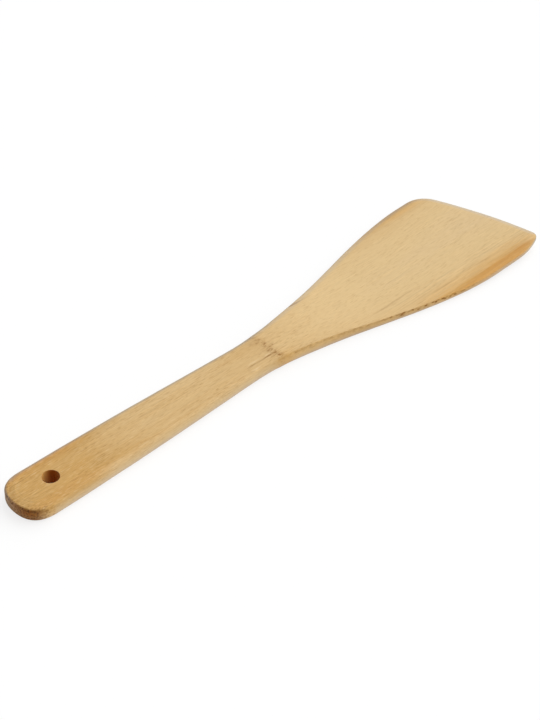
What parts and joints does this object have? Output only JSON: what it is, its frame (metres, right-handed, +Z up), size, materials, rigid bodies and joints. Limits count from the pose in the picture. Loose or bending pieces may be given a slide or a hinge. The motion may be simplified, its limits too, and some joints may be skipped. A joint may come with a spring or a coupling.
{
  "type": "kitchen spatula",
  "caption": "Flat bamboo kitchen spatula with a tapered handle, a drilled hanging hole, a narrow neck and a wide thin blade with a slanted tip.",
  "frame": {"origin": "on the table plane that it lies on, under the middle of its overall box", "axes": "+X from the handle end to the blade tip, +Y to the side that the slant cuts short, +Z up from the table"},
  "size_m": [0.3, 0.0666, 0.007],
  "materials": {
    "bamboo": "fine-sanded bare bamboo with a dry satin sheen"
  },
  "bodies": {
    "root": {"spatula_body": "bamboo"}
  },
  "joints": []
}
